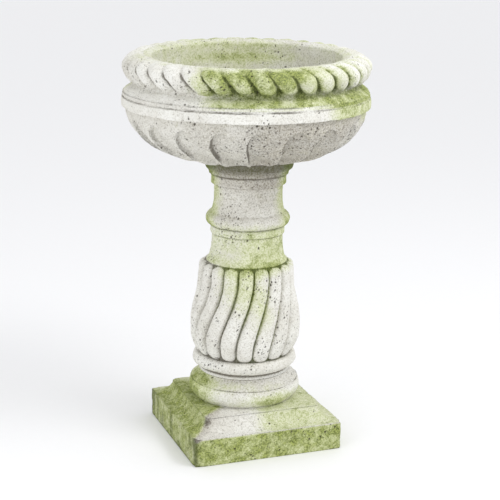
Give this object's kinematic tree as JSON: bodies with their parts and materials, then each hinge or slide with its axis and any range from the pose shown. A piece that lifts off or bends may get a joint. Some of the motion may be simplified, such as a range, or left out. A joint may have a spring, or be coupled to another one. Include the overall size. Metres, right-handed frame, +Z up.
{
  "type": "bird bath",
  "caption": "Cast-stone bird bath: deep bowl with a rope-twist rim on a ribbed baluster column and a square moulded plinth.",
  "frame": {"origin": "centre of the plinth's underside", "axes": "+Z up along the column; X and Y square to the plinth's faces"},
  "size_m": [0.502, 0.5018, 0.815],
  "materials": {
    "cast_stone": "weathered cast stone, fine black pits, green algae in the hollows",
    "steel": "dull galvanised bar"
  },
  "bodies": {
    "plinth": {"base_casting": "cast_stone"},
    "plinth_pin": {"base_pin": "steel"},
    "column": {"column_casting": "cast_stone", "column_bars": "steel", "column_ties": "steel"},
    "seat_pin": {"bowl_pin": "steel"},
    "bowl": {"bowl_casting": "cast_stone", "rim_hoop": "steel", "belly_hoop": "steel", "bowl_wires": "steel"}
  },
  "joints": [
    {"name": "plinth_pin_lift", "type": "slide", "parent": "plinth", "child": "plinth_pin", "axis": [0, 0, 1], "range_m": [0, 0.04]},
    {"name": "column_turn", "type": "hinge", "parent": "plinth_pin", "child": "column", "pos_m": [0, 0, 0.147], "axis": [0, 0, 1], "continuous": true},
    {"name": "bowl_pin_lift", "type": "slide", "parent": "column", "child": "seat_pin", "axis": [0, 0, 1], "range_m": [0, 0.04]},
    {"name": "bowl_turn", "type": "hinge", "parent": "seat_pin", "child": "bowl", "pos_m": [0, 0, 0.594], "axis": [0, 0, 1], "continuous": true}
  ]
}
